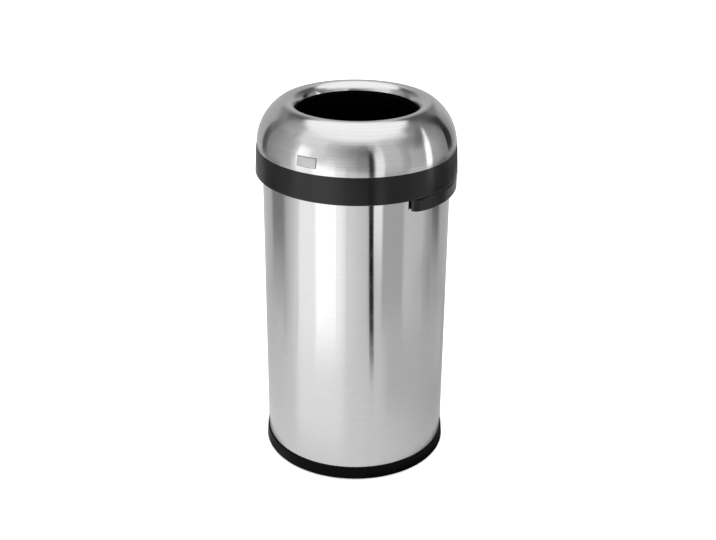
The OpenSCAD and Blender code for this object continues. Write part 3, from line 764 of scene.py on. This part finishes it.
@dataclass
class Studio:
    """The floor, the light and the camera that stands where the photograph was taken from."""

    camera_distance: float = 2.1154
    camera_height: float = 1.3570
    camera_azimuth: float = math.radians(28.1)
    camera_pitch: float = 0.4345
    camera_roll: float = 0.0089
    camera_yaw: float = 0.0021
    focal_length: float = 58.685
    sensor_width: float = 36.0
    floor_reach: float = 12.0
    floor_drop: float = 0.0002
    world_light: float = 1.5

    def place_camera(self) -> None:
        """Stands the camera and makes it the scene's."""
        data = bpy.data.cameras.new("camera")
        data.lens = self.focal_length
        data.sensor_width = self.sensor_width
        camera = bpy.data.objects.new("camera", data)
        bpy.context.scene.collection.objects.link(camera)
        across = math.sin(self.camera_azimuth) * self.camera_distance
        back = -math.cos(self.camera_azimuth) * self.camera_distance
        at = Matrix.Translation((across, back, self.camera_height))
        turn = Matrix.Rotation(self.camera_azimuth - self.camera_yaw, 4, "Z")
        tip = Matrix.Rotation(math.pi / 2 - self.camera_pitch, 4, "X")
        roll = Matrix.Rotation(self.camera_roll, 4, "Z")
        camera.matrix_world = at @ turn @ tip @ roll
        bpy.context.scene.camera = camera

    def lay_floor(self) -> None:
        """Lays the floor just below the foot pads."""
        reach = self.floor_reach
        mesh = bpy.data.meshes.new("floor")
        corners = [(-reach, -reach, 0), (reach, -reach, 0), (reach, reach, 0), (-reach, reach, 0)]
        mesh.from_pydata(corners, [], [(0, 1, 2, 3)])
        floor = bpy.data.objects.new("floor", mesh)
        floor.location.z = -self.floor_drop
        bpy.context.scene.collection.objects.link(floor)
        StudioFloor("studio floor").dress(floor)

    def light_world(self) -> None:
        """Fills the world with one even white."""
        world = bpy.data.worlds.new("studio")
        bpy.context.scene.world = world
        world.use_nodes = True
        nodes = Nodes(world.node_tree)
        glow = nodes.add("ShaderNodeBackground")
        glow.inputs["Color"].default_value = WHITE
        glow.inputs["Strength"].default_value = self.world_light
        output = nodes.add("ShaderNodeOutputWorld")
        nodes.join(glow.outputs[0], output.inputs["Surface"])

    def build(self) -> None:
        """Sets the whole studio up."""
        bpy.context.scene.view_settings.view_transform = "Standard"
        self.place_camera()
        self.lay_floor()
        self.light_world()
        LightTent(self.camera_azimuth).build()
        LOG.info("set up the floor, the light and the camera")


def turns(steps: int) -> list[float]:
    """Spaces angles evenly over a full turn, from 0."""
    return [2 * math.pi * i / steps for i in range(steps)]


def standing(radius: float, height: float, angle: float) -> Matrix:
    """Gives an upright place round the axis, its angle in degrees from +X."""
    return Matrix.Rotation(math.radians(angle), 4, "Z") @ Matrix.Translation((radius, 0, height))


class Draft:
    """Points and faces of one mesh while it is drawn, in millimetres."""

    def __init__(self) -> None:
        """Starts with nothing drawn."""
        self.points: list[Vector] = []
        self.faces: list[tuple[int, ...]] = []
        self.marks: list[int] = []

    def loop(self, points: list[Vector]) -> list[int]:
        """Adds a loop of points.

        Args:
            points: the points.
        Returns:
            Their numbers.
        """
        first = len(self.points)
        self.points.extend(points)
        return list(range(first, len(self.points)))

    def ring(self, place: Matrix, reaches: list[float], height: float) -> list[int]:
        """Adds a level ring about the Z axis of a place.

        Args:
            place: where it stands.
            reaches: how far out each of its points lies.
            height: its height over the place.
        Returns:
            The numbers of its points.
        """
        pairs = zip(reaches, turns(len(reaches)))
        return self.loop([place @ Vector((out * math.cos(t), out * math.sin(t), height)) for out, t in pairs])

    def skin(self, loops: list[list[int]], mark: int = 0) -> None:
        """Joins closed loops of equally many points, each to the next.

        Args:
            loops: the loops, as numbers of points.
            mark: which finish the faces take.
        """
        for near, far in zip(loops, loops[1:]):
            for i in range(len(near)):
                beside = (i + 1) % len(near)
                self.faces.append((near[i], near[beside], far[beside], far[i]))
                self.marks.append(mark)

    def cap(self, loop: list[int], turned: bool = False) -> None:
        """Closes a loop with one face, turned over if need be, in the first finish."""
        self.faces.append(tuple(reversed(loop)) if turned else tuple(loop))
        self.marks.append(0)

    def solid(self, loops: list[list[int]]) -> None:
        """Joins loops and closes the first and the last.

        Args:
            loops: the loops, as numbers of points.
        """
        self.skin(loops)
        self.cap(loops[0], turned=True)
        self.cap(loops[-1])

    def lathe(self, profile: list[tuple[float, float]], place: Matrix, steps: int) -> None:
        """Turns a profile about the Z axis of a place.

        Args:
            profile: radius and height of its points, anticlockwise, starting and ending near the axis.
            place: where it stands.
            steps: how many steps go round.
        """
        self.solid([self.ring(place, [radius] * steps, height) for radius, height in profile])

    def piece(self, name: str, finishes: list[Finish], sharp: float = 32.0) -> bpy.types.Object:
        """Makes the object, smooth but for edges sharper than an angle.

        Args:
            name: its name.
            finishes: the finish of each mark.
            sharp: that angle, in degrees.
        Returns:
            The object.
        """
        mesh = bpy.data.meshes.new(name)
        mesh.from_pydata([point * MM for point in self.points], [], self.faces)
        mesh.polygons.foreach_set("material_index", self.marks)
        mesh.polygons.foreach_set("use_smooth", [True] * len(self.faces))
        mesh.set_sharp_from_angle(angle=math.radians(sharp))
        for finish in finishes:
            mesh.materials.append(finish.material())
        mesh.update()
        piece = bpy.data.objects.new(name, mesh)
        bpy.context.scene.collection.objects.link(piece)
        return piece


@dataclass
class DomeShoulder:
    """The broad shoulder of the dome, on which the badge lies."""

    centre_radius: float = 95.2
    spring: float = 645.0
    radius: float = 95.0

    def at(self, x: float, z: float, proud: float) -> Vector:
        """Gives the place above a point of the front, as seen square from the front.

        Args:
            x: how far to the right.
            z: its height.
            proud: how far it stands out of the dome.
        Returns:
            The place.
        """
        rise = math.sqrt((self.radius + proud) ** 2 - (z - self.spring) ** 2)
        reach = self.centre_radius + rise
        return Vector((x, -math.sqrt(reach ** 2 - x ** 2), z))


@dataclass
class Badge:
    """The bare plate on the front of the dome: a satin field, a bevel whose dark colour is painted shade
    standing for the shadow line round the field, and two studs behind.
    """

    shoulder: DomeShoulder
    width: float = 39.0
    height: float = 18.5
    middle: float = 661.5
    corner: float = 1.6
    least_corner: float = 0.3
    thickness: float = 1.0
    back_proud: float = 0.05
    rim_proud: float = 0.45
    lip_proud: float = 0.58
    bevel: float = 0.75
    bevel_drop: float = 0.1
    rounding: float = 0.12
    corner_steps: int = 6
    side_steps: int = 8
    inner_rings: int = 8
    stud_pitch: float = 21.84
    stud_radius: float = 1.25
    stud_length: float = 6.0
    stud_seat: float = 0.5
    stud_chamfer_width: float = 0.3
    stud_chamfer_length: float = 0.4
    stud_steps: int = 32

    def on_corner(self, quarter: int, along: float, inset: float, share: float) -> tuple[float, float]:
        """Gives a point on a rounded corner of the outline.

        Args:
            quarter: which corner, anticlockwise from the top right at 0.
            along: how far round it, from 0 to 1.
            inset: how far inside the edge.
            share: how large the outline is, 1 being full size.
        Returns:
            Its x and z.
        """
        corner = max(self.corner - inset, self.least_corner)
        right, up = ((1, 1), (-1, 1), (-1, -1), (1, -1))[quarter % 4]
        turn = math.pi / 2 * (quarter + along)
        x = right * (self.width / 2 - inset - corner) + corner * math.cos(turn)
        z = up * (self.height / 2 - inset - corner) + corner * math.sin(turn)
        return x * share, z * share

    def outline(self, inset: float, share: float = 1.0) -> list[tuple[float, float]]:
        """Lists the outline's points, with some along each side, so that it bends with the dome.

        Args:
            inset: how far inside the edge.
            share: how large it is, 1 being full size.
        Returns:
            Pairs of x and z, anticlockwise.
        """
        points = []
        for quarter in range(4):
            for i in range(self.corner_steps + 1):
                points.append(self.on_corner(quarter, i / self.corner_steps, inset, share))
            x, z = points[-1]
            next_x, next_z = self.on_corner(quarter + 1, 0, inset, share)
            for i in range(1, self.side_steps):
                across, up = (next_x - x) * i / self.side_steps, (next_z - z) * i / self.side_steps
                points.append((x + across, z + up))
        return points

    def ring(self, draft: Draft, inset: float, proud: float, share: float = 1.0) -> list[int]:
        """Draws the outline on the dome.

        Args:
            draft: what to draw into.
            inset: how far inside the edge.
            proud: how far it stands out.
            share: how large it is.
        Returns:
            The numbers of its points.
        """
        places = [self.shoulder.at(x, self.middle + z, proud) for x, z in self.outline(inset, share)]
        return draft.loop(places)

    def draw_studs(self, draft: Draft) -> None:
        """Draws the studs that hold the plate.

        Args:
            draft: what to draw into.
        """
        lean = math.asin((self.middle - self.shoulder.spring) / self.shoulder.radius)
        radius, tip = self.stud_radius, -self.stud_length
        chamfer = [(radius - self.stud_chamfer_width, tip), (radius, tip + self.stud_chamfer_length)]
        profile = [(NEAR_AXIS, tip), *chamfer, (radius, 0.0), (NEAR_AXIS, 0.0)]
        for side in (-1, 1):
            seat = self.shoulder.at(side * self.stud_pitch / 2, self.middle, self.stud_seat)
            place = Matrix.Translation(seat) @ Matrix.Rotation(math.pi / 2 - lean, 4, "X")
            draft.lathe(profile, place, self.stud_steps)

    def build(self) -> None:
        """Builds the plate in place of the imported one."""
        draft = Draft()
        back = self.ring(draft, 0.0, self.back_proud)
        rim = self.ring(draft, 0.0, self.rim_proud)
        lip = self.ring(draft, self.rounding, self.lip_proud)
        edge = self.ring(draft, self.bevel, self.thickness - self.bevel_drop)
        within = self.bevel + self.rounding
        field = self.ring(draft, within, self.thickness)
        # The bevel rings take the second finish, the dark colour painted as shade round the plate's field
        draft.skin([back, rim, lip, edge], 1)
        draft.skin([edge, field])
        shares = [i / self.inner_rings for i in range(self.inner_rings - 1, 0, -1)]
        inner = [self.ring(draft, within, self.thickness, share) for share in shares]
        draft.skin([field, *inner])
        draft.cap(inner[-1])
        behind = [self.ring(draft, 0.0, self.back_proud, share) for share in shares]
        draft.skin([*reversed(behind), back])
        draft.cap(behind[-1], turned=True)
        self.draw_studs(draft)
        badge = draft.piece("badge", [BADGE_STEEL, BADGE_SHADE_EDGE])
        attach(badge, "lid")
        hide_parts("badge_plate")
        LOG.info("built %s", badge.name)


@dataclass(frozen=True)
class PlaceRing:
    """Upright places spaced evenly round the axis, the first at an angle in degrees from +X."""

    count: int
    radius: float
    height: float
    first: float = 0.0

    def places(self) -> list[Matrix]:
        """Lists the places."""
        angles = [self.first + 360 * i / self.count for i in range(self.count)]
        return [standing(self.radius, self.height, angle) for angle in angles]


@dataclass(frozen=True)
class Screw:
    """A cross-recessed pan head screw. It seats at a place, with its shank along the place's Z."""

    diameter: float
    length: float
    head_diameter: float
    head_height: float
    arm_width: float = 0.9
    pitch: float = 0.9
    arm_reach: float = 0.3
    thread_root: float = 0.8
    thread_start: float = 0.5
    thread_spare: float = 1.6
    tip_width: float = 0.15
    tip_length: float = 0.9
    steps: int = 32
    # The rings of the recess and of the head, as shares of the full width and height
    recess: tuple[tuple[float, float], ...] = ((0.35, 0.42), (0.8, 0.5), (1.0, 0.96))
    head: tuple[tuple[float, float], ...] = (
        (0.72, 1.0), (0.86, 0.93), (0.96, 0.74), (1.0, 0.5), (1.0, 0.06), (0.96, 0.0),
    )

    def cross(self, turn: float, size: float) -> float:
        """Gives how far the recess reaches at an angle.

        Args:
            turn: the angle.
            size: how large the recess is there, 1 at its mouth.
        Returns:
            The radius.
        """
        least = 1e-6
        long, short = self.arm_reach * self.head_diameter * size, self.arm_width / 2 * size
        across, up = max(abs(math.cos(turn)), least), max(abs(math.sin(turn)), least)
        return max(min(long / across, short / up), min(short / across, long / up))

    def draw(self, draft: Draft, place: Matrix) -> None:
        """Draws one screw.

        Args:
            draft: what to draw into.
            place: where it seats.
        """
        steps, crest = self.steps, self.diameter / 2
        root = crest * self.thread_root
        rings = [
            ([self.cross(turn, size) for turn in turns(steps)], -self.head_height * depth)
            for size, depth in self.recess
        ]
        for share, depth in self.head:
            rings.append(([self.head_diameter / 2 * share] * steps, -self.head_height * depth))
        rings.append(([crest] * steps, 0.0))
        for i in range(int((self.length - self.thread_spare) / self.pitch)):
            rings.append(([crest] * steps, self.thread_start + i * self.pitch))
            rings.append(([root] * steps, self.thread_start + (i + 0.5) * self.pitch))
        rings.append(([root] * steps, self.length - self.tip_length))
        rings.append(([crest * self.tip_width] * steps, self.length))
        draft.solid([draft.ring(place, reaches, height) for reaches, height in rings])


@dataclass
class ScrewSet:
    """The screws of one kind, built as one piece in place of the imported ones."""

    node: str
    body: str
    screw: Screw
    places: list[Matrix]

    def build(self) -> None:
        """Builds the set."""
        draft = Draft()
        for place in self.places:
            self.screw.draw(draft, place)
        piece = draft.piece(self.node + "_set", [ZINC])
        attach(piece, self.body)
        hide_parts(self.node)
        LOG.info("built %s", piece.name)


@dataclass
class Fasteners:
    """Every set of screws in the bin: the size of each, and where it seats."""

    base: Screw = Screw(3.8, 7.5, 7.2, 1.6)
    base_ring: PlaceRing = PlaceRing(FEET, FOOT_RING, 5.4, SCREWS_FROM)
    housing: Screw = Screw(3.8, 10.5, 8.0, 2.0)
    housing_radius: float = 177.4
    housing_height: float = 566.0
    housing_angles: tuple[float, ...] = (180 - 6.4, 180 + 6.4)
    throat: Screw = Screw(3.0, 8.0, 5.6, 1.6)
    throat_ring: PlaceRing = PlaceRing(4, 126.582, 683.175, 45)
    lid_frame: Screw = Screw(3.5, 14.0, 7.0, 2.0)
    lid_frame_ring: PlaceRing = PlaceRing(6, 181.5, 632.4)
    leaf: Screw = Screw(3.0, 5.0, 5.6, 1.4, pitch=0.7)
    leaf_face: float = -184.2
    leaf_height: float = 622.0
    leaf_sides: tuple[float, ...] = (-19.3, -6.562, 6.562, 19.3)
    grip: Screw = Screw(2.8, 12.0, 4.6, 1.6, arm_width=0.8)
    grip_radius: float = 187.3
    grip_height: float = 585.8
    grip_sweep: float = 59.0
    grip_shares: tuple[float, ...] = (-0.38, -0.14, 0.14, 0.38)

    def sets(self) -> list[ScrewSet]:
        """Lists the sets.

        Returns:
            One set for each node of screws.
        """
        outward = Matrix.Rotation(math.pi / 2, 4, "Y")
        leftward = Matrix.Rotation(-math.pi / 2, 4, "Y")
        housing = [
            standing(self.housing_radius, self.housing_height, angle) @ outward
            for angle in self.housing_angles
        ]
        leaf = [Matrix.Translation((self.leaf_face, y, self.leaf_height)) @ leftward for y in self.leaf_sides]
        grip = [
            standing(self.grip_radius, self.grip_height, self.grip_sweep * share)
            for share in self.grip_shares
        ]
        return [
            ScrewSet("base_screws", "bin_body", self.base, self.base_ring.places()),
            ScrewSet("hinge_housing_screws", "bin_body", self.housing, housing),
            ScrewSet("throat_screws", "lid", self.throat, self.throat_ring.places()),
            ScrewSet("lid_frame_screws", "lid", self.lid_frame, self.lid_frame_ring.places()),
            ScrewSet("hinge_leaf_screws", "lid", self.leaf, leaf),
            ScrewSet("grip_screws", "lid", self.grip, grip),
        ]

    def build(self) -> None:
        """Builds every set."""
        for screws in self.sets():
            screws.build()


@dataclass
class FootPads:
    """The rubber pads under the base ring, each with a dished middle and two tread grooves."""

    radius: float = 11.0
    height: float = 3.5
    grooves: tuple[float, ...] = (5.6, 8.2)
    groove_depth: float = 0.45
    groove_mouth: float = 0.5
    groove_floor: float = 0.3
    top_bevel: float = 0.3
    steps: int = 56
    # The dish's profile, as radius and height, and the rounded edge's, as inset and height
    dish: tuple[tuple[float, float], ...] = (
        (NEAR_AXIS, 1.0), (2.4, 1.0), (3.2, 0.55), (3.5, 0.12), (3.8, 0.0),
    )
    rounding: tuple[tuple[float, float], ...] = ((1.1, 0.0), (0.45, 0.2), (0.12, 0.6), (0.0, 1.1))

    def profile(self) -> list[tuple[float, float]]:
        """Lists the pad's half section.

        Returns:
            Its points, from the middle of its foot round to the middle of its top.
        """
        points = list(self.dish)
        mouth, floor, depth = self.groove_mouth, self.groove_floor, self.groove_depth
        for at in self.grooves:
            points += [(at - mouth, 0.0), (at - floor, depth), (at + floor, depth), (at + mouth, 0.0)]
        points += [(self.radius - inset, height) for inset, height in self.rounding]
        points.append((self.radius, self.height - self.top_bevel))
        points.append((self.radius - self.top_bevel, self.height))
        points.append((NEAR_AXIS, self.height))
        return points

    def build(self) -> None:
        """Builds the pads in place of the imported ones."""
        draft = Draft()
        for place in PlaceRing(FEET, FOOT_RING, 0.0).places():
            draft.lathe(self.profile(), place, self.steps)
        pads = draft.piece("treaded_foot_pads", [PAD_RUBBER])
        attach(pads, "bin_body")
        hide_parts("foot_pads")
        LOG.info("built %s", pads.name)


@dataclass
class FloorPan:
    """The pressed floor: a raised middle with a bead and spokes, a hemmed rim and screw collars."""

    radius: float = 176.4
    foot: float = 7.1
    rise: float = 4.0
    plateau: float = 132.4
    slope: float = 6.0
    sheet: float = 1.0
    rim: float = 13.0
    hem: float = 0.95
    hub_radius: float = 14.0
    hub_slope: float = 12.0
    hub_drop: float = 0.35
    bead_radius: float = 112.0
    bead_width: float = 6.0
    bead_depth: float = 1.3
    spokes: int = 8
    spoke_from: float = 36.0
    spoke_to: float = 96.0
    spoke_end: float = 8.0
    spoke_width: float = 7.0
    spoke_rise: float = 1.5
    bend_pitch: float = 1.5
    steps: int = 192
    sharp: float = 40.0
    # A screw collar's profile, as radius and height over the sheet
    collar: tuple[tuple[float, float], ...] = (
        (1.95, 0.0), (3.9, 0.0), (3.45, 0.5), (3.35, 2.7), (3.05, 3.0), (2.2, 3.0), (1.95, 2.8),
    )
    collar_steps: int = 32

    def height_at(self, radius: float, turn: float) -> float:
        """Gives the height of the sheet's underside.

        Args:
            radius: the distance from the axis.
            turn: the angle.
        Returns:
            The height.
        """
        height = self.foot + self.rise * (1 - ease((radius - self.plateau) / self.slope))
        height -= self.bead_depth * (1 - ease(abs(radius - self.bead_radius) / self.bead_width))
        pitch = 2 * math.pi / self.spokes
        across = abs((turn / pitch) % 1 - 0.5) * pitch * radius
        along = window(radius, self.spoke_from, self.spoke_to, self.spoke_end)
        height += self.spoke_rise * along * (1 - ease(across / self.spoke_width))
        return height - self.rise * self.hub_drop * (1 - ease((radius - self.hub_radius) / self.hub_slope))

    def radii(self) -> list[float]:
        """Lists the radii of the flat part's rings, closer where it bends.

        Returns:
            The radii, from the middle outwards.
        """
        hub = [1.0] + [8.0 + 4.0 * i for i in range(6)]
        spokes = [31.0 + 3.0 * i for i in range(25)]
        bead = [self.bead_radius + self.bend_pitch * i for i in range(-4, 5)]
        slope = [self.plateau + self.bend_pitch * i for i in range(5)]
        return [*hub, *spokes, *bead, 122.0, 130.0, *slope, 142.0, 152.0, 164.0, 172.0, 174.0]

    def pressed_ring(self, draft: Draft, radius: float, lift: float) -> list[int]:
        """Draws one ring of the flat part, which follows the pressing.

        Args:
            draft: what to draw into.
            radius: its radius.
            lift: how far above the underside.
        Returns:
            The numbers of its points.
        """
        return draft.loop([
            Vector((radius * math.cos(turn), radius * math.sin(turn), self.height_at(radius, turn) + lift))
            for turn in turns(self.steps)
        ])

    def rim_profile(self) -> list[tuple[float, float]]:
        """Lists the rim's half section.

        Returns:
            Radius and height of its points, from the underside round over the hem and down inside.
        """
        foot, floor, top = self.foot, self.foot + self.sheet, self.foot + self.rim
        outside, inside = self.radius, self.radius - self.sheet
        hem = inside - self.hem
        return [
            (outside - 1.2, foot), (outside - 0.35, foot + 0.35), (outside, foot + 1.2),
            (outside, top - 0.6), (outside - 0.3, top - 0.15), (outside - self.hem, top),
            (hem + 0.3, top - 0.15), (hem, top - 0.7), (hem, top - 2.4), (hem + 0.25, top - 2.9),
            (inside, top - 3.0), (inside, floor + 1.0), (inside - 0.4, floor + 0.25), (inside - 1.2, floor),
        ]

    def build(self) -> None:
        """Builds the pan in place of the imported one."""
        draft = Draft()
        middle = Matrix.Identity(4)
        under = [self.pressed_ring(draft, radius, 0.0) for radius in self.radii()]
        rim = [draft.ring(middle, [radius] * self.steps, height) for radius, height in self.rim_profile()]
        over = [self.pressed_ring(draft, radius, self.sheet) for radius in reversed(self.radii())]
        draft.solid(under + rim + over)
        steps = self.collar_steps
        for place in PlaceRing(FEET, FOOT_RING, self.foot + self.sheet, SCREWS_FROM).places():
            loops = [draft.ring(place, [radius] * steps, height) for radius, height in self.collar]
            draft.skin([*loops, loops[0]])
        pan = draft.piece("pressed_floor_pan", [GALVANISED], self.sharp)
        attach(pan, "bin_body")
        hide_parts("base_pan")
        LOG.info("built %s", pan.name)


@dataclass
class CarriedNodes:
    """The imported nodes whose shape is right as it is, and the finish of each."""

    finishes: dict[str, Finish]

    def dress(self, nodes: dict[str, bpy.types.Object]) -> None:
        """Gives each node its finish.

        Args:
            nodes: the frame's nodes by name.
        """
        for name, finish in self.finishes.items():
            for holder in nodes[name].material_slots:
                holder.material = finish.material()
            LOG.info("dressed %s in %s", name, finish.name)


CARRIED = CarriedNodes({
    "base_ring": BASE_PLASTIC,
    "body_shell": BODY_STEEL,
    "top_collar": BAND_PLASTIC,
    "collar_rivets": ZINC,
    "hinge_housing": BAND_PLASTIC,
    "hinge_backing_plate": GALVANISED,
    "hinge_pin": ZINC,
    "hinge_pin_caps": ZINC,
    "bag_ring": BAND_PLASTIC,
    "bag_ring_pin": ZINC,
    "dome_shell": DOME_STEEL,
    "throat_ring": INNER_PLASTIC,
    "inner_frame": INNER_PLASTIC,
    "lid_band": BAND_PLASTIC,
    "lid_bumpers": PAD_RUBBER,
    "lid_hinge_leaf": BAND_PLASTIC,
    "side_grip": BAND_PLASTIC,
    "badge_push_nuts": ZINC,
})


def main() -> None:
    """Builds the pieces round the frame, then the studio."""
    logging.basicConfig(level=logging.INFO, format="%(name)s: %(message)s")
    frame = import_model()
    bpy.context.view_layer.update()
    CARRIED.dress(frame["nodes"])
    Badge(DomeShoulder()).build()
    FootPads().build()
    FloorPan().build()
    Fasteners().build()
    Studio().build()


if __name__ == "__main__":
    main()
